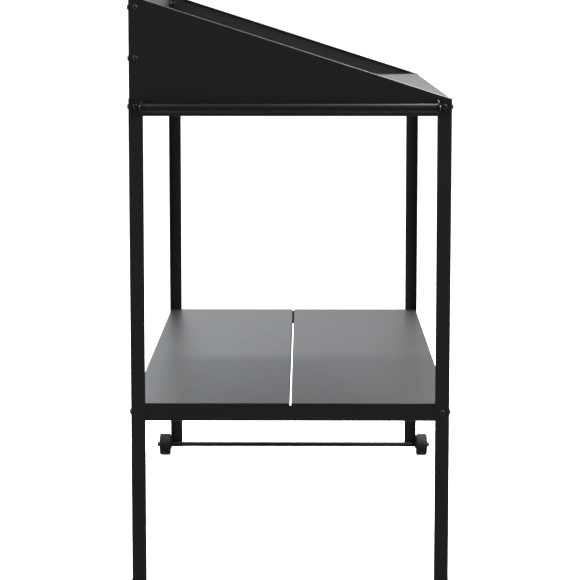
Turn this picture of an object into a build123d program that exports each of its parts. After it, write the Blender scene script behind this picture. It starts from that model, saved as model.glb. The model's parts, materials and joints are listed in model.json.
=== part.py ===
from build123d import *
import math
import os

# A black sheet-steel work table: a worktop walled on three sides and a tray shelf, on four angle posts.
#
# Millimetres. +Z is up, +Y is the rear, where the tall wall stands, and -Y is the open front. The push
# handle is at the -X end and the two wheels are at the +X end. The origin is on the floor, under the
# middle of the whole outline. Pieces are modelled about the middle of the four posts, and moved at the end.

# ---- the whole table
TABLE_LENGTH = 1200.0  # over the posts' outer faces, along X
TABLE_WIDTH = 550.0  # over the posts' outer faces, along Y
WORKTOP_Z = 855.0
WALL_TOP_Z = 1030.0
SHELF_Z = 330.0

# ---- angle posts
POST_LEG = 25.0
POST_THICKNESS = 1.2
POST_BEND = 1.8
SHORT_POST_Z = 16.0  # underside of the two posts that carry the axle

# ---- walls
WALL_THICKNESS = 1.0
WALL_BEND = 2.0  # outer radius
WALL_LIP = 5.0  # width of the folded edges
WALL_BOTTOM_Z = 825.0
FRONT_LIP_GAP = 15.0  # the sloping lip stops this far short of the front
FRONT_LIP_NOTCH = 5.0  # how far below the worktop's top the sloping lip's notch reaches
LIP_GAP = 1.0  # between the lips of two walls at a corner

# ---- trays
PANEL_THICKNESS = 1.0
PANEL_BEND = 2.0
PANEL_GAP = 3.0
WORKTOP_DEPTH = 28.0
SHELF_DEPTH = 29.0

# ---- rails under the shelf's ends
RAIL_THICKNESS = 1.2
RAIL_BEND = 2.0
RAIL_BOTTOM_Z = 299.0
RAIL_TOP_Z = 326.0
RAIL_LIP = 12.0

# ---- brackets inside the wall's rear corners
CORNER_LEG = 20.0
CORNER_THICKNESS = 1.5
CORNER_BEND = 5.0  # outer radius
CORNER_BOTTOM_Z = 856.0
CORNER_TOP_Z = 1018.0

# ---- M5 fasteners
BOLT_INSET = 12.5  # from a post's outer corner
HEAD_RADIUS = 4.75
HEAD_HEIGHT = 2.75
HEAD_CROWN = 2.2  # radius of the head's rounded shoulder
SOCKET_SIZE = 3.0  # across flats
SOCKET_DEPTH = 1.4
SHANK_RADIUS = 2.45
HOLE_RADIUS = 2.75
NUT_SIZE = 8.0  # across flats
NUT_HEIGHT = 4.0
NUT_CHAMFER = 0.6
NUT_BORE_RADIUS = 2.5
THREAD_PROUD = 0.7  # thread showing past a nut
WALL_BOLT_ZS = (923.0, 1009.0)
WORKTOP_BOLT_Z = 841.0
SHELF_BOLT_Z = 314.0

# ---- push handle
HANDLE_Z = WORKTOP_BOLT_Z
HANDLE_REACH = 40.0  # from the posts' outer faces to the tube's axis
TUBE_RADIUS = 7.0
TUBE_WALL = 1.2
BRACKET_THICKNESS = 2.0
BRACKET_HEIGHT = 24.0
BRACKET_OVERHANG = 1.0  # past the post's inner edge
BRACKET_EDGE_GAP = 1.5
BRACKET_CORNER = 4.0
BRACKET_BEND = 1.8  # outer radius of the fold between the leg and the ear
INSERT_LENGTH = 14.0
HANDLE_SCREW_LENGTH = 13.0

# ---- foot shoes
SHOE_MARGIN = 1.5
SHOE_SOLE = 3.0
SHOE_HEIGHT = 16.0
SHOE_CORNER = 3.0

# ---- wheels
AXLE_RADIUS = 4.0
AXLE_INSET = 12.5  # from the end faces of the posts
SLEEVE_RADIUS = 5.0  # of the tube round the axle, between the posts
SLEEVE_END_GAP = 0.2
AXLE_HOLE_CLEARANCE = 0.1
HUB_CLEARANCE = 0.08
TYRE_RADIUS = 24.0
TYRE_WIDTH = 24.0
TYRE_SHOULDER = 7.6  # half the flat tread's width
TYRE_EDGE_RADIUS = 21.2
TYRE_BULGE = 0.6
TREAD_STEP = 0.5
TREAD_STEP_RUN = 0.4
RIM_RADIUS = 18.0
RIM_WALL = 2.2
RIM_WIDTH = 22.0
BOSS_RADIUS = 7.5
BOSS_WIDTH = 24.6
WEB_THICKNESS = 4.0
RIB_COUNT = 6
RIB_THICKNESS = 2.0
RIB_WIDTH = 18.0
RIB_OVERLAP = 0.5  # how far a rib runs into the boss and the rim
WHEEL_PLAY = 0.3
WASHER_THICKNESS = 0.8
WASHER_RADIUS = 6.6
CAP_BRIM_RADIUS = 5.9
CAP_BRIM = 1.0
CAP_DOME_RADIUS = 5.0
CAP_HEIGHT = 4.8
CAP_CROWN = 3.3  # radius of the dome's rounded shoulder
AXLE_INTO_CAP = 2.6

OVERRUN = 10.0  # how far a cutting block runs past the metal that it cuts

# ---- worked out from the above
HALF_LENGTH = TABLE_LENGTH / 2
HALF_WIDTH = TABLE_WIDTH / 2
WALL_END_X = HALF_LENGTH - POST_THICKNESS
WALL_REAR_Y = HALF_WIDTH - POST_THICKNESS
HUB_INNER_Y = HALF_WIDTH + WASHER_THICKNESS + WHEEL_PLAY
WHEEL_Y = HUB_INNER_Y + BOSS_WIDTH / 2
HUB_OUTER_Y = HUB_INNER_Y + BOSS_WIDTH
OUTER_WASHER_Y = HUB_OUTER_Y + WHEEL_PLAY
CAP_Y = OUTER_WASHER_Y + WASHER_THICKNESS
AXLE_X = HALF_LENGTH - AXLE_INSET
OUTLINE_START_X = -HALF_LENGTH - HANDLE_REACH - BRACKET_HEIGHT / 2
OUTLINE_END_X = AXLE_X + TYRE_RADIUS
CENTRE_SHIFT = -(OUTLINE_START_X + OUTLINE_END_X) / 2  # brings the outline's middle to X = 0

HANDLE_END, WHEEL_END = -1, 1
FRONT, REAR = -1, 1
SIDE_NAMES = {FRONT: "front", REAR: "rear"}
END_NAMES = {HANDLE_END: "handle", WHEEL_END: "wheel"}

parts = {}


def block(x0, x1, y0, y1, z0, z1):
    """A box between two opposite corners."""
    middle = Location(((x0 + x1) / 2, (y0 + y1) / 2, (z0 + z1) / 2))
    return middle * Box(abs(x1 - x0), abs(y1 - y0), abs(z1 - z0))


def rod(start, direction, radius, length):
    """A round bar from a start point along a direction."""
    return Plane(origin=start, z_dir=direction) * Cylinder(
        radius, length, align=(Align.CENTER, Align.CENTER, Align.MIN)
    )


def at_corner(shape, end, side):
    """Puts a shape made for a corner of the table in its place.

    Such a shape has the outer corner of the posts at X = Y = 0, and +X and +Y run into the table.
    """
    if end == WHEEL_END:
        shape = shape.mirror(Plane.YZ)
    if side == REAR:
        shape = shape.mirror(Plane.XZ)
    return Location((end * HALF_LENGTH, side * HALF_WIDTH, 0)) * shape


def all_corners():
    return [(end, side) for end in (HANDLE_END, WHEEL_END) for side in (FRONT, REAR)]


def group(shapes):
    """Separate solids that share one node."""
    return Compound(children=[solid for shape in shapes for solid in shape.solids()])


# ---- fasteners, in the corner's own frame


def bolt(start, direction, head_at, shank_end):
    """A button-head bolt. Its head's seat is head_at from the start point, along the direction."""
    seat = Plane(origin=start, z_dir=direction).offset(head_at)
    head = seat * Cylinder(
        HEAD_RADIUS, HEAD_HEIGHT, align=(Align.CENTER, Align.CENTER, Align.MAX)
    )
    crown = head.faces().sort_by(Axis(start, direction))[0]
    head = fillet(crown.edges(), HEAD_CROWN)
    socket_plane = seat.offset(-HEAD_HEIGHT)
    socket = extrude(
        socket_plane * RegularPolygon(SOCKET_SIZE / 2, 6, major_radius=False),
        amount=SOCKET_DEPTH,
    )
    shank = seat * Cylinder(
        SHANK_RADIUS,
        shank_end - head_at,
        align=(Align.CENTER, Align.CENTER, Align.MIN),
    )
    return head - socket + shank


def nut(start, direction, seat_at):
    """A hexagon nut, chamfered on its outer face."""
    seat = Plane(origin=start, z_dir=direction).offset(seat_at)
    body = extrude(
        seat * RegularPolygon(NUT_SIZE / 2, 6, major_radius=False), amount=NUT_HEIGHT
    )
    corner_radius = NUT_SIZE / math.sqrt(3)
    round_body = seat * Cylinder(
        corner_radius, NUT_HEIGHT, align=(Align.CENTER, Align.CENTER, Align.MIN)
    )
    outer_face = round_body.faces().sort_by(Axis(start, direction))[-1]
    round_body = chamfer(outer_face.edges(), NUT_CHAMFER)
    bore = seat * Cylinder(
        NUT_BORE_RADIUS, NUT_HEIGHT, align=(Align.CENTER, Align.CENTER, Align.MIN)
    )
    return (body & round_body) - bore


def bolt_lines(z):
    """The two bolt axes of a corner at one height: through the end face and through the side face."""
    through_end = (Vector(0, BOLT_INSET, z), Vector(1, 0, 0))
    through_side = (Vector(BOLT_INSET, 0, z), Vector(0, 1, 0))
    return through_end, through_side


def bolts_and_nuts(z, end_seats, side_seats):
    """One corner's two bolts and two nuts. Seats are the depths of the head's and the nut's faces."""
    bolts = []
    nuts = []
    for (start, direction), (head_at, nut_at) in zip(bolt_lines(z), (end_seats, side_seats)):
        bolts.append(bolt(start, direction, head_at, nut_at + NUT_HEIGHT + THREAD_PROUD))
        nuts.append(nut(start, direction, nut_at))
    return bolts, nuts


def has_end_bolt(end, side, z):
    """Every corner has a bolt through its end face at each height, except one corner at the shelf."""
    return (end, side, z) != (HANDLE_END, REAR, SHELF_BOLT_Z)


def corner_holes(zs):
    """The drills for every corner's bolt holes at the given heights."""
    reach = POST_LEG
    drills = []
    for end, side in all_corners():
        for z in zs:
            through_end, through_side = bolt_lines(z)
            lines = [through_end, through_side] if has_end_bolt(end, side, z) else [through_side]
            for start, direction in lines:
                drill = rod(start - direction * reach / 2, direction, HOLE_RADIUS, reach)
                drills.append(at_corner(drill, end, side))
    return drills


def drilled(shape, zs):
    """A shape with the bolt holes that its corners share with the posts."""
    box = shape.bounding_box()
    for drill in corner_holes(zs):
        middle = drill.bounding_box().center()
        near_x = box.min.X - POST_LEG < middle.X < box.max.X + POST_LEG
        near_y = box.min.Y - POST_LEG < middle.Y < box.max.Y + POST_LEG
        if near_x and near_y:
            shape -= drill
    return shape


# ---- posts and their shoes


def angle_section(leg, thickness, bend, margin=0.0, inner_bend=0.0):
    """The L of an angle with its outer corner at the origin, or grown outwards by a margin."""
    low = -margin
    high = leg + margin
    inner = thickness + margin
    outline = Polyline(
        (low, low), (high, low), (high, inner), (inner, inner), (inner, high), (low, high), close=True
    )
    section = make_face(outline)
    outer_corner = section.vertices().sort_by_distance((low, low, 0))[0]
    section = fillet(outer_corner, bend + margin)
    if inner_bend > 0:
        inner_corner = section.vertices().sort_by_distance((inner, inner, 0))[0]
        section = fillet(inner_corner, inner_bend)
    return section


def angle_post(bottom_z):
    section = angle_section(POST_LEG, POST_THICKNESS, POST_BEND)
    return extrude(Plane.XY.offset(bottom_z) * section, amount=WORKTOP_Z - bottom_z)


def make_posts():
    for end, side in all_corners():
        bottom_z = SHOE_SOLE if end == HANDLE_END else SHORT_POST_Z
        post = at_corner(angle_post(bottom_z), end, side)
        post = drilled(post, (WORKTOP_BOLT_Z, SHELF_BOLT_Z))
        if end == WHEEL_END:
            hole_start = (AXLE_X, side * HALF_WIDTH + POST_LEG / 2, TYRE_RADIUS)
            hole_radius = AXLE_RADIUS + AXLE_HOLE_CLEARANCE
            post -= rod(hole_start, (0, -1, 0), hole_radius, POST_LEG)
        parts[f"post_{END_NAMES[end]}_{SIDE_NAMES[side]}"] = post


def make_shoes():
    """A moulded shoe on each handle-end post: a square sole with a pocket that grips the angle."""
    outer = POST_LEG + SHOE_MARGIN
    sole = block(-SHOE_MARGIN, outer, -SHOE_MARGIN, outer, 0, SHOE_SOLE)
    sole = fillet(sole.edges().filter_by(Axis.Z), SHOE_CORNER)
    grip_section = angle_section(POST_LEG, POST_THICKNESS, POST_BEND, SHOE_MARGIN)
    grip = extrude(grip_section, amount=SHOE_HEIGHT)
    pocket_section = angle_section(POST_LEG, POST_THICKNESS, POST_BEND)
    pocket = extrude(Plane.XY.offset(SHOE_SOLE) * pocket_section, amount=SHOE_HEIGHT)
    shoe = sole + grip - pocket
    for side in (FRONT, REAR):
        parts[f"foot_shoe_{SIDE_NAMES[side]}"] = at_corner(shoe, HANDLE_END, side)


# ---- walls round the worktop


def folded_sheet(blank, hollow, outer_face_axis, bend, thickness, pick):
    """A plate with lips: a blank block less a hollow, with the folds rounded outside and inside."""
    outer_face = blank.faces().sort_by(outer_face_axis)[-1]
    blank = fillet(pick(outer_face.edges()), bend)
    inner_face = hollow.faces().sort_by(outer_face_axis)[-1]
    hollow = fillet(pick(inner_face.edges()), bend - thickness)
    return blank - hollow


def sloping_prism(x0, x1, y0, y1, bottom_z, drop):
    """The side wall's outline, from front y0 to rear y1, as a block; its top follows the slope."""
    slope = (WALL_TOP_Z - WORKTOP_Z) / (2 * WALL_REAR_Y)

    def top_z(y):
        return WORKTOP_Z + slope * (y + WALL_REAR_Y) - drop * math.hypot(1, slope)

    outline = Polyline((y0, bottom_z), (y1, bottom_z), (y1, top_z(y1)), (y0, top_z(y0)), close=True)
    return extrude(Plane.YZ.offset(x0) * make_face(outline), amount=x1 - x0)


def make_side_walls():
    """Each side wall is one sheet, with a lip folded inwards along its sloping top and its bottom."""
    lip_x = WALL_END_X - WALL_LIP
    blank = sloping_prism(lip_x, WALL_END_X, -WALL_REAR_Y, WALL_REAR_Y, WALL_BOTTOM_Z, 0)
    hollow = sloping_prism(
        lip_x - OVERRUN,
        WALL_END_X - WALL_THICKNESS,
        -WALL_REAR_Y - OVERRUN,
        WALL_REAR_Y + OVERRUN,
        WALL_BOTTOM_Z + WALL_THICKNESS,
        WALL_THICKNESS,
    )

    def long_edges(edges):
        return edges.filter_by(lambda edge: abs(edge.tangent_at(0.5).Y) > 0.9)

    wall = folded_sheet(blank, hollow, Axis.X, WALL_BEND, WALL_THICKNESS, long_edges)
    inner_x = WALL_END_X - WALL_THICKNESS
    rear_stop = WALL_REAR_Y - WALL_THICKNESS - LIP_GAP
    past_lip = lip_x - OVERRUN
    past_front = -WALL_REAR_Y - OVERRUN
    past_rear = WALL_REAR_Y + OVERRUN
    past_bottom = WALL_BOTTOM_Z - OVERRUN
    top_lip_stop = FRONT_LIP_GAP - WALL_REAR_Y
    bottom_lip_stop = LIP_GAP - WALL_REAR_Y
    wall -= block(past_lip, inner_x, rear_stop, past_rear, past_bottom, WALL_TOP_Z + OVERRUN)
    wall -= block(past_lip, inner_x, past_front, top_lip_stop, WORKTOP_Z - FRONT_LIP_NOTCH, WALL_TOP_Z)
    wall -= block(past_lip, inner_x, past_front, bottom_lip_stop, past_bottom, WORKTOP_Z)
    for end in (HANDLE_END, WHEEL_END):
        placed = wall.mirror(Plane.YZ) if end == HANDLE_END else wall
        placed = drilled(placed, (WORKTOP_BOLT_Z, *WALL_BOLT_ZS))
        parts[f"side_wall_{END_NAMES[end]}_end"] = placed


def make_rear_wall():
    """The tall wall, between the two side walls, with a lip folded inwards along its top and bottom."""
    half = WALL_END_X - WALL_THICKNESS
    lip_y = WALL_REAR_Y - WALL_LIP
    blank = block(-half, half, lip_y, WALL_REAR_Y, WALL_BOTTOM_Z, WALL_TOP_Z)
    hollow = block(
        -half - OVERRUN,
        half + OVERRUN,
        lip_y - OVERRUN,
        WALL_REAR_Y - WALL_THICKNESS,
        WALL_BOTTOM_Z + WALL_THICKNESS,
        WALL_TOP_Z - WALL_THICKNESS,
    )

    def long_edges(edges):
        return edges.filter_by(Axis.X)

    wall = folded_sheet(blank, hollow, Axis.Y, WALL_BEND, WALL_THICKNESS, long_edges)
    lip_end = WALL_END_X - WALL_LIP - LIP_GAP
    inner_y = WALL_REAR_Y - WALL_THICKNESS
    for end in (HANDLE_END, WHEEL_END):
        wall -= block(
            end * lip_end,
            end * (half + OVERRUN),
            lip_y - OVERRUN,
            inner_y,
            WALL_BOTTOM_Z - OVERRUN,
            WALL_TOP_Z + OVERRUN,
        )
    parts["rear_wall"] = drilled(wall, (WORKTOP_BOLT_Z, *WALL_BOLT_ZS))


def make_corner_brackets():
    """An angle bolted inside each rear corner, where the rear wall meets a side wall."""
    depth = POST_THICKNESS + WALL_THICKNESS
    inner_bend = CORNER_BEND - CORNER_THICKNESS
    section = angle_section(CORNER_LEG, CORNER_THICKNESS, CORNER_BEND, inner_bend=inner_bend)
    angle = extrude(
        Plane.XY.offset(CORNER_BOTTOM_Z) * section, amount=CORNER_TOP_Z - CORNER_BOTTOM_Z
    )
    angle = Location((depth, depth, 0)) * angle
    for end in (HANDLE_END, WHEEL_END):
        placed = drilled(at_corner(angle, end, REAR), WALL_BOLT_ZS)
        parts[f"corner_bracket_{END_NAMES[end]}_end"] = placed


# ---- worktop and shelf


def tray(x0, x1, y0, y1, top_z, depth):
    """A panel with its four edges folded down and its corners closed, open underneath."""

    def rounded(low_x, high_x, low_y, high_y, low_z, high_z, radius):
        body = block(low_x, high_x, low_y, high_y, low_z, high_z)
        edges = body.edges().filter_by(Axis.Z) + body.faces().sort_by(Axis.Z)[-1].edges()
        return fillet(edges, radius)

    t = PANEL_THICKNESS
    outer = rounded(x0, x1, y0, y1, top_z - depth, top_z, PANEL_BEND)
    inner = rounded(
        x0 + t, x1 - t, y0 + t, y1 - t, top_z - depth - t, top_z - t, PANEL_BEND - t
    )
    return outer - inner


def make_panels(name, top_z, depth, end_x, front_y, rear_y, bolt_z):
    """Two trays side by side, with a narrow gap between them."""
    middle = (front_y + rear_y) / 2
    spans = {
        FRONT: (front_y, middle - PANEL_GAP / 2),
        REAR: (middle + PANEL_GAP / 2, rear_y),
    }
    for side, (y0, y1) in spans.items():
        panel = tray(-end_x, end_x, y0, y1, top_z, depth)
        parts[f"{name}_{SIDE_NAMES[side]}"] = drilled(panel, (bolt_z,))


def make_worktop():
    end_x = WALL_END_X - WALL_THICKNESS
    rear_y = WALL_REAR_Y - WALL_THICKNESS
    make_panels(
        "worktop_panel", WORKTOP_Z, WORKTOP_DEPTH, end_x, -WALL_REAR_Y, rear_y, WORKTOP_BOLT_Z
    )


def make_shelf():
    end_x = WALL_END_X - RAIL_THICKNESS
    make_panels("shelf_panel", SHELF_Z, SHELF_DEPTH, end_x, -WALL_REAR_Y, WALL_REAR_Y, SHELF_BOLT_Z)


def make_shelf_rails():
    """An angle rail between the posts at each end, under and outside the shelf panels' ends."""
    lip_x = WALL_END_X - RAIL_LIP
    blank = block(lip_x, WALL_END_X, -WALL_REAR_Y, WALL_REAR_Y, RAIL_BOTTOM_Z, RAIL_TOP_Z)
    hollow = block(
        lip_x - OVERRUN,
        WALL_END_X - RAIL_THICKNESS,
        -WALL_REAR_Y - OVERRUN,
        WALL_REAR_Y + OVERRUN,
        RAIL_BOTTOM_Z + RAIL_THICKNESS,
        RAIL_TOP_Z + OVERRUN,
    )

    def fold_edge(edges):
        return edges.filter_by(Axis.Y).sort_by(Axis.Z)[:1]

    rail = folded_sheet(blank, hollow, Axis.X, RAIL_BEND, RAIL_THICKNESS, fold_edge)
    for end in (HANDLE_END, WHEEL_END):
        placed = rail.mirror(Plane.YZ) if end == HANDLE_END else rail
        parts[f"shelf_rail_{END_NAMES[end]}_end"] = drilled(placed, (SHELF_BOLT_Z,))


# ---- push handle


def handle_bracket():
    """A leg that lies on the post's face under its bolt, and an ear that stands out to hold the tube."""
    ear_inner_y = POST_LEG + BRACKET_OVERHANG
    ear_outer_y = ear_inner_y - BRACKET_THICKNESS
    low_z = HANDLE_Z - BRACKET_HEIGHT / 2
    high_z = HANDLE_Z + BRACKET_HEIGHT / 2
    leg = block(-BRACKET_THICKNESS, 0, BRACKET_EDGE_GAP, ear_inner_y, low_z, high_z)
    free_corners = leg.edges().filter_by(Axis.X).group_by(Axis.Y)[0]
    leg = fillet(free_corners, BRACKET_CORNER)
    ear = block(-HANDLE_REACH, 0, ear_outer_y, ear_inner_y, low_z, high_z)
    tip = rod((-HANDLE_REACH, ear_outer_y, HANDLE_Z), (0, 1, 0), BRACKET_HEIGHT / 2, BRACKET_THICKNESS)
    bracket = leg + (ear + tip)
    fold = bracket.edges().filter_by(Axis.Z).sort_by_distance((0, ear_inner_y, HANDLE_Z))[0]
    bracket = fillet(fold, BRACKET_BEND)
    bracket -= rod((-HANDLE_REACH, 0, HANDLE_Z), (0, 1, 0), HOLE_RADIUS, POST_LEG * 2)
    bracket -= rod((-POST_LEG / 2, BOLT_INSET, HANDLE_Z), (1, 0, 0), HOLE_RADIUS, POST_LEG)
    return bracket


def make_handle():
    ear_inner_y = HALF_WIDTH - POST_LEG - BRACKET_OVERHANG
    axis_x = -HALF_LENGTH - HANDLE_REACH
    for side in (FRONT, REAR):
        parts[f"handle_bracket_{SIDE_NAMES[side]}"] = at_corner(handle_bracket(), HANDLE_END, side)
    bore_radius = TUBE_RADIUS - TUBE_WALL
    tube_start = (axis_x, -ear_inner_y, HANDLE_Z)
    tube = rod(tube_start, (0, 1, 0), TUBE_RADIUS, 2 * ear_inner_y)
    parts["handle_tube"] = tube - rod(tube_start, (0, 1, 0), bore_radius, 2 * ear_inner_y)

    inserts = []
    screws = []
    for side in (FRONT, REAR):
        face = Vector(axis_x, side * ear_inner_y, HANDLE_Z)
        inwards = Vector(0, -side, 0)
        insert = rod(face, inwards, bore_radius, INSERT_LENGTH)
        inserts.append(insert - rod(face, inwards, NUT_BORE_RADIUS, INSERT_LENGTH))
        screws.append(bolt(face, inwards, -BRACKET_THICKNESS, HANDLE_SCREW_LENGTH))
    parts["handle_inserts"] = group(inserts)
    parts["handle_screws"] = group(screws)


# ---- bolts and nuts through the corners


def make_fasteners():
    post = POST_THICKNESS
    wall = POST_THICKNESS + WALL_THICKNESS
    wall_and_panel = wall + PANEL_THICKNESS
    wall_and_bracket = wall + CORNER_THICKNESS
    rail_and_panel = POST_THICKNESS + RAIL_THICKNESS + PANEL_THICKNESS
    sets = {"wall": ([], []), "worktop": ([], []), "shelf": ([], [])}
    bracket_bolts = []
    for end, side in all_corners():

        def place(shapes):
            return [at_corner(shape, end, side) for shape in shapes]

        if side == REAR:
            for z in WALL_BOLT_ZS:
                bolts, nuts = bolts_and_nuts(z, (post, wall_and_bracket), (post, wall_and_bracket))
                sets["wall"][0].extend(place(bolts))
                sets["wall"][1].extend(place(nuts))

        end_head = -BRACKET_THICKNESS if end == HANDLE_END else 0.0
        side_nut = wall_and_panel if side == REAR else wall
        bolts, nuts = bolts_and_nuts(WORKTOP_BOLT_Z, (end_head, wall_and_panel), (0.0, side_nut))
        through_end, through_side = place(bolts)
        if end == HANDLE_END:
            bracket_bolts.append(through_end)
        else:
            sets["worktop"][0].append(through_end)
        sets["worktop"][0].append(through_side)
        sets["worktop"][1].extend(place(nuts))

        bolts, nuts = bolts_and_nuts(SHELF_BOLT_Z, (0.0, rail_and_panel), (0.0, wall))
        first = 0 if has_end_bolt(end, side, SHELF_BOLT_Z) else 1
        sets["shelf"][0].extend(place(bolts[first:]))
        sets["shelf"][1].extend(place(nuts[first:]))
    for name, (bolts, nuts) in sets.items():
        parts[f"{name}_bolts"] = group(bolts)
        parts[f"{name}_nuts"] = group(nuts)
    parts["handle_bracket_bolts"] = group(bracket_bolts)


# ---- axle and wheels, turned about the axle


def turned(outline_points, side, y_middle):
    """A solid of revolution about the axle. Points are (distance outwards from the middle, radius)."""
    outline = Polyline(*[(radius, out) for out, radius in outline_points], close=True)
    return placed_on_axle(make_face(outline), side, y_middle)


def axle_plane(side, y_middle):
    """The plane across the axle at a distance from the table's middle, facing outwards."""
    return Plane(origin=(AXLE_X, side * y_middle, TYRE_RADIUS), x_dir=(1, 0, 0), z_dir=(0, side, 0))


def placed_on_axle(section, side, y_middle):
    """Turns a section, drawn as (radius, distance outwards), about the axle's own line."""
    return axle_plane(side, y_middle) * revolve(Plane.XZ * section, Axis.Z)


def tyre_section():
    """A flat tread between two shallow steps, and shoulders that curve down to the rim."""
    half = TYRE_WIDTH / 2
    step_radius = TYRE_RADIUS - TREAD_STEP
    step_out = TYRE_SHOULDER + TREAD_STEP_RUN
    bulge_out = (step_out + half) / 2 + TYRE_BULGE
    bulge_radius = (step_radius + TYRE_EDGE_RADIUS) / 2 + TYRE_BULGE

    def shoulder(sign):
        start = (step_radius, sign * step_out)
        end = (TYRE_EDGE_RADIUS, sign * half)
        return ThreePointArc(start, (bulge_radius, sign * bulge_out), end)

    lines = [
        Line((TYRE_RADIUS, -TYRE_SHOULDER), (TYRE_RADIUS, TYRE_SHOULDER)),
        Line((TYRE_RADIUS, TYRE_SHOULDER), (step_radius, step_out)),
        shoulder(1),
        Line((TYRE_EDGE_RADIUS, half), (RIM_RADIUS, half)),
        Line((RIM_RADIUS, half), (RIM_RADIUS, -half)),
        Line((RIM_RADIUS, -half), (TYRE_EDGE_RADIUS, -half)),
        shoulder(-1),
        Line((step_radius, -step_out), (TYRE_RADIUS, -TYRE_SHOULDER)),
    ]
    return make_face(lines)


def wheel_hub(side):
    """A moulded hub: a boss on the axle, a thin web with ribs, and the rim that the tyre sits on."""
    bore = AXLE_RADIUS + HUB_CLEARANCE
    half_boss = BOSS_WIDTH / 2
    half_rim = RIM_WIDTH / 2
    half_web = WEB_THICKNESS / 2
    rim_inner = RIM_RADIUS - RIM_WALL
    outline = [
        (-half_boss, bore),
        (half_boss, bore),
        (half_boss, BOSS_RADIUS),
        (half_web, BOSS_RADIUS),
        (half_web, rim_inner),
        (half_rim, rim_inner),
        (half_rim, RIM_RADIUS),
        (-half_rim, RIM_RADIUS),
        (-half_rim, rim_inner),
        (-half_web, rim_inner),
        (-half_web, BOSS_RADIUS),
        (-half_boss, BOSS_RADIUS),
    ]
    hub = turned(outline, side, WHEEL_Y)
    rib_reach = (BOSS_RADIUS + rim_inner) / 2
    rib_length = rim_inner - BOSS_RADIUS + 2 * RIB_OVERLAP
    rib = Location((rib_reach, 0, 0)) * Box(rib_length, RIB_THICKNESS, RIB_WIDTH)
    for turn in range(RIB_COUNT):
        hub += axle_plane(side, WHEEL_Y) * Rotation(0, 0, turn * 360 / RIB_COUNT) * rib
    return hub


def washer(side, inner_y):
    bore = AXLE_RADIUS + AXLE_HOLE_CLEARANCE
    outline = [
        (0, bore),
        (WASHER_THICKNESS, bore),
        (WASHER_THICKNESS, WASHER_RADIUS),
        (0, WASHER_RADIUS),
    ]
    return turned(outline, side, inner_y)


def axle_cap(side):
    """A domed cap with a brim, pushed on to the axle's end."""
    upright = (Align.CENTER, Align.CENTER, Align.MIN)
    brim = Cylinder(CAP_BRIM_RADIUS, CAP_BRIM, align=upright)
    brim = chamfer(brim.faces().sort_by(Axis.Z)[-1].edges(), CAP_BRIM / 2)
    dome = Cylinder(CAP_DOME_RADIUS, CAP_HEIGHT, align=upright)
    dome = fillet(dome.faces().sort_by(Axis.Z)[-1].edges(), CAP_CROWN)
    cap = brim + dome - Cylinder(AXLE_RADIUS, AXLE_INTO_CAP, align=upright)
    return axle_plane(side, CAP_Y) * cap


def make_running_gear():
    axle_half = CAP_Y + AXLE_INTO_CAP
    parts["wheel_axle"] = rod((AXLE_X, -axle_half, TYRE_RADIUS), (0, 1, 0), AXLE_RADIUS, 2 * axle_half)
    sleeve_half = HALF_WIDTH - POST_THICKNESS - SLEEVE_END_GAP
    sleeve_start = (AXLE_X, -sleeve_half, TYRE_RADIUS)
    sleeve = rod(sleeve_start, (0, 1, 0), SLEEVE_RADIUS, 2 * sleeve_half)
    parts["axle_sleeve"] = sleeve - rod(sleeve_start, (0, 1, 0), AXLE_RADIUS, 2 * sleeve_half)
    washers = []
    caps = []
    for side in (FRONT, REAR):
        parts[f"wheel_hub_{SIDE_NAMES[side]}"] = wheel_hub(side)
        parts[f"wheel_tyre_{SIDE_NAMES[side]}"] = placed_on_axle(tyre_section(), side, WHEEL_Y)
        washers.append(washer(side, HALF_WIDTH))
        washers.append(washer(side, OUTER_WASHER_Y))
        caps.append(axle_cap(side))
    parts["axle_washers"] = group(washers)
    parts["axle_caps"] = group(caps)


def main():
    make_posts()
    make_shoes()
    make_side_walls()
    make_rear_wall()
    make_corner_brackets()
    make_worktop()
    make_shelf()
    make_shelf_rails()
    make_handle()
    make_fasteners()
    make_running_gear()
    os.makedirs("parts", exist_ok=True)
    for name, shape in parts.items():
        export_step(Location((CENTRE_SHIFT, 0, 0)) * shape, f"parts/{name}.step")


main()
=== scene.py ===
import json
import math

import bpy
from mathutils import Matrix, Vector


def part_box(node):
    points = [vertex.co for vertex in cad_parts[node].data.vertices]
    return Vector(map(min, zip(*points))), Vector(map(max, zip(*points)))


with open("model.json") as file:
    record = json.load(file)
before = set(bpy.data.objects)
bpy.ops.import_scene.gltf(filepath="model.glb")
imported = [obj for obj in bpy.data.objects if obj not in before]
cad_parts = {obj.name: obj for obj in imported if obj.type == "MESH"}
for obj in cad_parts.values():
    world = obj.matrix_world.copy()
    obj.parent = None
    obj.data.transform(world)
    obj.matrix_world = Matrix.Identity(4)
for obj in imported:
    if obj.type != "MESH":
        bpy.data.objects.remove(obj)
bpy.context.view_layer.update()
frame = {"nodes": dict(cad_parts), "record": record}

# The looks of a black powder-coated steel work table. Metres, in the CAD's frame: +X runs from the push handle
# to the wheels, -Y is the open front and +Z is up.

MILLIMETRE = 0.001

# ---- camera: it looks along the table from the handle's end, at the height of the wall's top
CAMERA_DISTANCE = 3.926  # from the outer faces of the handle-end posts
CAMERA_SIDE = -0.024  # off the table's middle, towards the open front
CAMERA_ABOVE_WALL = 0.005  # above the rear wall's top
CAMERA_TILT = math.radians(7.365)  # downwards
CAMERA_TURN = math.radians(0.354)  # towards the rear
LENS = 143.3  # millimetres, as is the sensor's width
SENSOR_WIDTH = 36.0

# ---- studio
FLOOR_SIZE = 90.0
FLOOR_COLOUR = (0.86, 0.86, 0.86)
FLOOR_GLOW = 0.93
DOME_RADIUS = 42.0
DOME_SEGMENTS = 48
DOME_RINGS = 24
DOME_COLOUR = (0.0, 0.0, 0.0)
DOME_GLOW = 1.2
STUDIO_ROUGHNESS = 0.9
SKY_TINT = (0.955, 1.0, 1.045)  # a little cool

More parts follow.
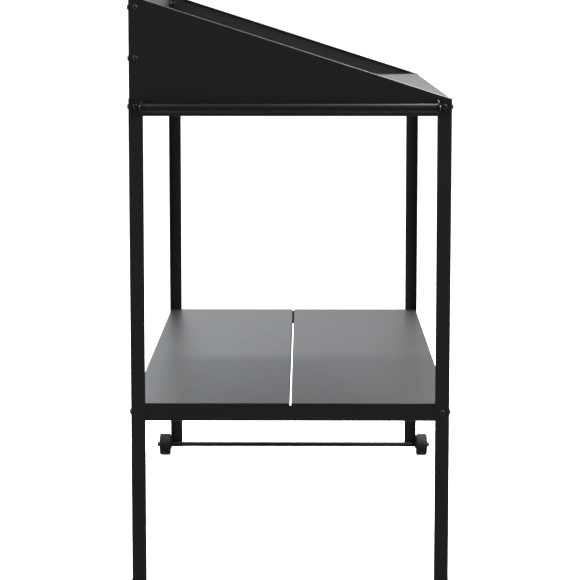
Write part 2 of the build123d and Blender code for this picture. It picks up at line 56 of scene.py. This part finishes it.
# Soft patches of light all round the table, which its gloss mirrors: azimuth from and to, the softness of those
# edges, elevation from and to, the softness of those edges, and the strength. Degrees: azimuth 0 is straight
# beyond the wheels, positive towards the rear and negative towards the open front. A limit past the end of its
# angle's range gives no edge there.
SKY_PATCHES = (
    (0, 14, 5, 0, 5, 2, 0.69),
    (-14, 0, 5, 0, 5, 2, 0.05),
    (0, 14, 5, 5, 13, 3, 1.07),
    (-14, 0, 5, 5, 13, 3, 0.1),
    (14, 70, 5, 0, 13, 3, 0.34),
    (-70, -14, 5, 0, 13, 3, 1.35),
    (-70, 70, 10, 13, 26, 3, 1.0),
    (-70, 70, 10, 26, 60, 6, 1.45),
    (-125, -70, 8, 0, 60, 5, 0.9),
    (70, 125, 8, 0, 60, 5, 0.1),
    (-60, 60, 10, -90, 0, 3, 0.6),
)
# The same on both sides: azimuth is measured either way from straight beyond the wheels.
EVEN_PATCHES = (
    (125, 200, 10, 0, 20, 5, 0.244),
    (125, 200, 10, 20, 60, 5, 0.1),
    (60, 120, 10, -90, 0, 3, 0.9),
    (120, 200, 10, -90, 0, 3, 0.24),
    (-20, 200, 10, 60, 110, 6, 0.12),
)
WHITE = (1.0, 1.0, 1.0, 1.0)

# Lamps that face down: where each hangs, its size along X and Y, and its power in watts. The small one shines in
# under the worktop from beyond the wheels, and lights the shelf as far as the worktop's shade.
SOFTBOX_SIZE = (2.6, 1.8)
LOW_LAMP_SIZE = (0.5, 0.8)
LAMPS = (
    ("softbox_far", (1.2, 0.0, 2.7), SOFTBOX_SIZE, 23.0),
    ("softbox_front", (0.2, -1.6, 2.3), SOFTBOX_SIZE, 280.0),
    ("softbox_rear", (0.2, 1.6, 2.3), SOFTBOX_SIZE, 120.0),
    ("low_lamp", (4.0, 0.4, 3.3), LOW_LAMP_SIZE, 40.0),
)

# ---- colours, as linear RGB
PAINT_BLACK = (0.0105, 0.0105, 0.0108)
HANDLE_BLACK = (0.0085, 0.0085, 0.0088)
AXLE_BLACK = (0.008, 0.008, 0.0082)
PLASTIC_BLACK = (0.011, 0.011, 0.0115)
RUBBER_BLACK = (0.012, 0.012, 0.0125)
DARK_PLATING = (0.065, 0.065, 0.068)
BRIGHT_PLATING = (0.52, 0.52, 0.50)

# ---- what the materials share
NOISE_LOW, NOISE_HIGH = 0.3, 0.7  # fractal noise is mostly between these
BEVEL_SAMPLES = 4
# The painted highlight on edges and folds rises between these two.
FLAT_FACE_COSINE, HIGHLIT_EDGE_COSINE = 0.98, 0.8  # cosine of the angle between the face and the rounded edge
LOW_GLOSS = 0.2  # specular level of rubber and of the axle's thin paint
# A pattern's scale along each axis: a small one along Y draws it out along Y.
EVEN_MARKS = (1.0, 1.0, 1.0)
MARKS_ALONG_Y = (1.0, 0.06, 1.0)
LINES_ALONG_Y = (1.0, 0.03, 1.0)

# ---- powder coat
CLOUD_SIZE = 110 * MILLIMETRE  # broad patches of slightly different shade
SMUDGE_SIZE = 35 * MILLIMETRE  # handling marks
# The lightest shade colours the flecks and the painted highlight on edges and folds.
COAT_DARKER, COAT_LIGHTER, COAT_FLECK_AND_HIGHLIGHT = 0.91, 1.1, 2.4  # shades, as multiples of the coat's own
FLECK_STRENGTH = 0.35
# The painted highlight on edges: how strong it is, and how far round the edge it reaches.
EDGE_STRENGTH = 0.5
EDGE_RADIUS = 0.6 * MILLIMETRE
CLOUD_ROUGHNESS = 0.003  # added or taken away
GRAIN_TO_PEEL = 1 / 4  # size of the fine grain over size of the orange peel
GRAIN_DEPTH_TO_PEEL = 1 / 3


# ---- node helpers


def node(tree, kind, **settings):
    """A new shader node with the given properties."""
    made = tree.nodes.new(kind)
    for name, value in settings.items():
        setattr(made, name, value)
    return made


def link(tree, source, target):
    tree.links.new(source, target)


class Surface:
    """A material under construction: one Principled shader and the textures that feed it."""

    def __init__(self, name, metallic=0.0, ior=1.5, specular=0.5):
        self.material = bpy.data.materials.new(name)
        self.material.use_nodes = True
        self.tree = self.material.node_tree
        self.shader = self.tree.nodes["Principled BSDF"]
        self.shader.inputs["Metallic"].default_value = metallic
        self.shader.inputs["IOR"].default_value = ior
        self.shader.inputs["Specular IOR Level"].default_value = specular
        self.place = node(self.tree, "ShaderNodeTexCoord").outputs["Object"]

    def stretched_place(self, stretch):
        """Object coordinates multiplied axis by axis, for grain that runs along a direction."""
        mapping = node(self.tree, "ShaderNodeMapping")
        mapping.inputs["Scale"].default_value = stretch
        link(self.tree, self.place, mapping.inputs["Vector"])
        return mapping.outputs["Vector"]

    def noise(self, size, detail=2.0, place=None, distortion=0.0):
        """Fractal noise from about 0 to 1, with features of the given size."""
        texture = node(self.tree, "ShaderNodeTexNoise")
        texture.inputs["Scale"].default_value = 1.0 / size
        texture.inputs["Detail"].default_value = detail
        texture.inputs["Distortion"].default_value = distortion
        link(self.tree, place or self.place, texture.inputs["Vector"])
        return texture.outputs["Fac"]

    def spread(self, value, low, high, low_out=0.0, high_out=1.0):
        """Maps low..high to low_out..high_out, with soft ends."""
        mapped = node(self.tree, "ShaderNodeMapRange", interpolation_type="SMOOTHSTEP")
        mapped.inputs["From Min"].default_value = low
        mapped.inputs["From Max"].default_value = high
        mapped.inputs["To Min"].default_value = low_out
        mapped.inputs["To Max"].default_value = high_out
        link(self.tree, value, mapped.inputs["Value"])
        return mapped.outputs["Result"]

    def uneven_roughness(self, value, usual, below, above, high=NOISE_HIGH):
        """Roughness that rises with a noise, from below its usual value to above it."""
        return self.spread(value, NOISE_LOW, high, usual - below, usual + above)

    def combine(self, operation, first, second):
        """One Math node. The second value may be a number or another output."""
        maths = node(self.tree, "ShaderNodeMath", operation=operation)
        link(self.tree, first, maths.inputs[0])
        if isinstance(second, (int, float)):
            maths.inputs[1].default_value = second
        else:
            link(self.tree, second, maths.inputs[1])
        return maths.outputs[0]

    def mix_colours(self, factor, first, second):
        """Blends two colours. Each is an RGB tuple or an output."""
        mix = node(self.tree, "ShaderNodeMix", data_type="RGBA")
        link(self.tree, factor, mix.inputs["Factor"])
        for name, colour in (("A", first), ("B", second)):
            socket = next(s for s in mix.inputs if s.name == name and s.type == "RGBA")
            if isinstance(colour, tuple):
                socket.default_value = (*colour, 1.0)
            else:
                link(self.tree, colour, socket)
        return next(s for s in mix.outputs if s.type == "RGBA")

    def painted_edge_highlight(self, radius):
        """1 on edges and folds, where a highlight is painted into the colour, 0 on flat faces."""
        rounded = node(self.tree, "ShaderNodeBevel", samples=BEVEL_SAMPLES)
        rounded.inputs["Radius"].default_value = radius
        facing = node(self.tree, "ShaderNodeVectorMath", operation="DOT_PRODUCT")
        geometry = node(self.tree, "ShaderNodeNewGeometry")
        link(self.tree, rounded.outputs["Normal"], facing.inputs[0])
        link(self.tree, geometry.outputs["Normal"], facing.inputs[1])
        return self.spread(facing.outputs["Value"], FLAT_FACE_COSINE, HIGHLIT_EDGE_COSINE)

    def bump(self, height, depth, after=None):
        """Relief of the given depth in metres."""
        relief = node(self.tree, "ShaderNodeBump")
        relief.inputs["Strength"].default_value = 1.0
        relief.inputs["Distance"].default_value = depth
        link(self.tree, height, relief.inputs["Height"])
        if after is not None:
            link(self.tree, after, relief.inputs["Normal"])
        return relief.outputs["Normal"]

    def finish(self, colour, roughness, normal):
        for name, output in (("Base Color", colour), ("Roughness", roughness), ("Normal", normal)):
            link(self.tree, output, self.shader.inputs[name])
        return self.material


# ---- materials


def shade(colour, factor):
    return tuple(factor * channel for channel in colour)


def powder_coat(name, base, roughness, peel_size, peel_depth, specular=0.5):
    """Black powder coat: fine orange peel, uneven gloss, faint handling marks, and a painted highlight that
    lightens its edges and folds in patches.
    """
    surface = Surface(name, specular=specular)
    peel = surface.noise(peel_size, detail=3.0)
    grain = surface.noise(peel_size * GRAIN_TO_PEEL, detail=2.0)
    cloud = surface.noise(CLOUD_SIZE, detail=4.0, distortion=0.4)
    smudge = surface.noise(SMUDGE_SIZE, detail=5.0, distortion=1.2)

    fleck_and_highlight = shade(base, COAT_FLECK_AND_HIGHLIGHT)
    clouds = surface.spread(cloud, NOISE_LOW, NOISE_HIGH)
    colour = surface.mix_colours(clouds, shade(base, COAT_DARKER), shade(base, COAT_LIGHTER))
    fleck = surface.spread(grain, low=0.66, high=0.8)
    colour = surface.mix_colours(surface.combine("MULTIPLY", fleck, FLECK_STRENGTH), colour, fleck_and_highlight)
    # Painted highlight: edges and folds are lighter, in patches that follow the handling marks.
    patchy = surface.spread(smudge, low=0.35, high=0.75)
    edge = surface.combine("MULTIPLY", surface.painted_edge_highlight(EDGE_RADIUS), patchy)
    colour = surface.mix_colours(surface.combine("MULTIPLY", edge, EDGE_STRENGTH), colour, fleck_and_highlight)

    smudges = surface.uneven_roughness(smudge, roughness, below=0.006, above=0.008)
    cloudy = surface.spread(cloud, NOISE_LOW, NOISE_HIGH, -CLOUD_ROUGHNESS, CLOUD_ROUGHNESS)
    gloss = surface.combine("ADD", smudges, cloudy)
    peel_normal = surface.bump(peel, peel_depth)
    normal = surface.bump(grain, peel_depth * GRAIN_DEPTH_TO_PEEL, peel_normal)
    return surface.finish(colour, gloss, normal)


def moulded_plastic(name, base, roughness, grain_size):
    """Moulded black plastic with a fine spark-eroded grain and scuffs."""
    surface = Surface(name, ior=1.46)
    grain = surface.noise(grain_size, detail=3.0)
    scuff = surface.noise(9 * MILLIMETRE, detail=6.0, distortion=2.0)
    scuffs = surface.spread(scuff, low=0.5, high=0.75)
    colour = surface.mix_colours(scuffs, base, shade(base, 1.7))
    gloss = surface.uneven_roughness(scuff, roughness, below=0.05, above=0.1, high=0.75)
    return surface.finish(colour, gloss, surface.bump(grain, depth=0.03 * MILLIMETRE))


def tyre_rubber(name, base):
    """Solid rubber: matt and unevenly dusty, with a fine grain."""
    surface = Surface(name, specular=LOW_GLOSS)
    grain = surface.noise(0.7 * MILLIMETRE, detail=4.0)
    dust = surface.noise(6 * MILLIMETRE, detail=6.0, distortion=1.0)
    dusty = surface.spread(dust, low=0.45, high=0.8)
    colour = surface.mix_colours(dusty, base, shade(base, 2.1))
    gloss = surface.spread(dust, low=0.3, high=0.8, low_out=0.7, high_out=0.85)
    return surface.finish(colour, gloss, surface.bump(grain, depth=0.05 * MILLIMETRE))


def plated_steel(name, base, roughness, mark_stretch):
    """Plated steel with fine tool marks, even or drawn out along an axis, and cloudy plating."""
    surface = Surface(name, metallic=1.0)
    marks_place = surface.stretched_place(mark_stretch)
    marks = surface.noise(0.4 * MILLIMETRE, detail=3.0, place=marks_place)
    cloud = surface.noise(4 * MILLIMETRE, detail=4.0, distortion=0.6)
    clouds = surface.spread(cloud, NOISE_LOW, NOISE_HIGH)
    colour = surface.mix_colours(clouds, shade(base, 0.7), shade(base, 1.35))
    gloss = surface.uneven_roughness(cloud, roughness, below=0.06, above=0.08)
    return surface.finish(colour, gloss, surface.bump(marks, depth=0.01 * MILLIMETRE))


def drawn_bar(name, base, roughness):
    """A painted drawn bar: thin coat over lengthwise draw lines."""
    surface = Surface(name, specular=LOW_GLOSS)
    lines_place = surface.stretched_place(LINES_ALONG_Y)
    lines = surface.noise(0.5 * MILLIMETRE, detail=3.0, place=lines_place)
    cloud = surface.noise(30 * MILLIMETRE, detail=4.0)
    clouds = surface.spread(cloud, low=0.35, high=0.7)
    colour = surface.mix_colours(clouds, base, shade(base, 1.6))
    gloss = surface.uneven_roughness(cloud, roughness, below=0.04, above=0.05)
    return surface.finish(colour, gloss, surface.bump(lines, depth=0.012 * MILLIMETRE))


def make_materials():
    """One material for each of the record's slots."""
    mm = MILLIMETRE
    return {
        "frame_paint": powder_coat(
            "frame_paint", PAINT_BLACK, 0.40, peel_size=1.5 * mm, peel_depth=0.020 * mm
        ),
        "sheet_paint": powder_coat(
            "sheet_paint", PAINT_BLACK, 0.38, peel_size=1.7 * mm, peel_depth=0.018 * mm
        ),
        "handle_paint": powder_coat(
            "handle_paint", HANDLE_BLACK, 0.36, peel_size=1.2 * mm, peel_depth=0.006 * mm, specular=0.4
        ),
        "axle_paint": drawn_bar("axle_paint", AXLE_BLACK, 0.6),
        "dark_fasteners": plated_steel("dark_fasteners", DARK_PLATING, 0.52, EVEN_MARKS),
        "plain_steel": plated_steel("plain_steel", BRIGHT_PLATING, 0.32, MARKS_ALONG_Y),
        "hub_plastic": moulded_plastic("hub_plastic", PLASTIC_BLACK, 0.46, grain_size=0.5 * mm),
        "shoe_plastic": moulded_plastic("shoe_plastic", PLASTIC_BLACK, 0.50, grain_size=0.5 * mm),
        "tyre_rubber": tyre_rubber("tyre_rubber", RUBBER_BLACK),
    }


def paint_cad_nodes(materials):
    for part in frame["record"]["subparts"]:
        cad_object = frame["nodes"][part["node"]]
        cad_object.data.materials.clear()
        cad_object.data.materials.append(materials[part["material_slot"]])


# ---- studio


def glowing(name, strength, colour):
    """A matt surface that also glows, so that it stays even under the table."""
    material = bpy.data.materials.new(name)
    material.use_nodes = True
    shader = material.node_tree.nodes["Principled BSDF"]
    shader.inputs["Base Color"].default_value = (*colour, 1.0)
    shader.inputs["Roughness"].default_value = STUDIO_ROUGHNESS
    shader.inputs["Specular IOR Level"].default_value = 0.0
    shader.inputs["Emission Color"].default_value = WHITE
    shader.inputs["Emission Strength"].default_value = strength
    return material


def show_to_camera_only(stage_object):
    stage_object.visible_glossy = False
    stage_object.visible_diffuse = False
    stage_object.visible_transmission = False
    stage_object.visible_shadow = False


def make_floor():
    bpy.ops.mesh.primitive_plane_add(size=FLOOR_SIZE)
    floor = bpy.context.object
    floor.name = "studio_floor"
    floor.data.materials.append(glowing("studio_floor", FLOOR_GLOW, FLOOR_COLOUR))
    show_to_camera_only(floor)
    return floor


def make_dome():
    """The pale backdrop all round."""
    bpy.ops.mesh.primitive_uv_sphere_add(
        segments=DOME_SEGMENTS, ring_count=DOME_RINGS, radius=DOME_RADIUS
    )
    dome = bpy.context.object
    dome.name = "studio_dome"
    dome.data.materials.append(glowing("studio_dome", DOME_GLOW, DOME_COLOUR))
    show_to_camera_only(dome)
    return dome


def make_sky():
    """Soft surroundings, brightest past the wheels and dim behind the handle."""
    world = bpy.data.worlds.new("studio_sky")
    bpy.context.scene.world = world
    world.use_nodes = True
    tree = world.node_tree

    def calculate(operation, first, second=None):
        maths = node(tree, "ShaderNodeMath", operation=operation)
        link(tree, first, maths.inputs[0])
        if second is not None:
            link(tree, second, maths.inputs[1])
        return maths.outputs[0]

    def step(angle, low, high, low_out, high_out):
        mapped = node(tree, "ShaderNodeMapRange", interpolation_type="SMOOTHSTEP")
        mapped.inputs["From Min"].default_value = math.radians(low)
        mapped.inputs["From Max"].default_value = math.radians(high)
        mapped.inputs["To Min"].default_value = low_out
        mapped.inputs["To Max"].default_value = high_out
        link(tree, angle, mapped.inputs["Value"])
        return mapped.outputs["Result"]

    def band(angle, low, high, softness, strength):
        """The strength between two angles and 0 elsewhere, with soft edges."""
        rise = step(angle, low - softness, low + softness, 0.0, strength)
        fall = step(angle, high - softness, high + softness, 1.0, 0.0)
        return calculate("MULTIPLY", rise, fall)

    direction = node(tree, "ShaderNodeSeparateXYZ")
    link(tree, node(tree, "ShaderNodeTexCoord").outputs["Generated"], direction.inputs["Vector"])
    azimuth = calculate("ARCTAN2", direction.outputs["Y"], direction.outputs["X"])
    even_azimuth = calculate("ABSOLUTE", azimuth)
    elevation = calculate("ARCSINE", direction.outputs["Z"])

    total = None
    for around, patches in ((azimuth, SKY_PATCHES), (even_azimuth, EVEN_PATCHES)):
        for start, end, side_softness, low, high, softness, strength in patches:
            across = band(around, start, end, side_softness, 1.0)
            patch = calculate("MULTIPLY", across, band(elevation, low, high, softness, strength))
            total = patch if total is None else calculate("ADD", total, patch)

    background = tree.nodes["Background"]
    background.inputs["Color"].default_value = (*SKY_TINT, 1.0)
    link(tree, total, background.inputs["Strength"])


def make_lamps():
    for name, place, size, power in LAMPS:
        light = bpy.data.lights.new(name, "AREA")
        light.shape = "RECTANGLE"
        light.size, light.size_y = size
        light.energy = power
        lamp = bpy.data.objects.new(name, light)
        lamp.location = place
        lamp.visible_camera = False
        bpy.context.collection.objects.link(lamp)


def make_camera():
    posts_lowest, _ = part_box("post_handle_front")
    _, wall_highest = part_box("rear_wall")
    camera = bpy.data.objects.new("camera", bpy.data.cameras.new("camera"))
    camera.data.sensor_width = SENSOR_WIDTH
    camera.data.lens = LENS
    camera.location = (posts_lowest.x - CAMERA_DISTANCE, CAMERA_SIDE, wall_highest.z + CAMERA_ABOVE_WALL)
    aim = Vector(
        (
            math.cos(CAMERA_TILT) * math.cos(CAMERA_TURN),
            math.cos(CAMERA_TILT) * math.sin(CAMERA_TURN),
            -math.sin(CAMERA_TILT),
        )
    )
    camera.rotation_euler = aim.to_track_quat("-Z", "Y").to_euler()
    bpy.context.collection.objects.link(camera)
    bpy.context.scene.camera = camera


paint_cad_nodes(make_materials())
make_floor()
make_dome()
make_sky()
make_lamps()
make_camera()
bpy.context.scene.view_settings.view_transform = "Standard"
bpy.context.scene.view_settings.look = "None"
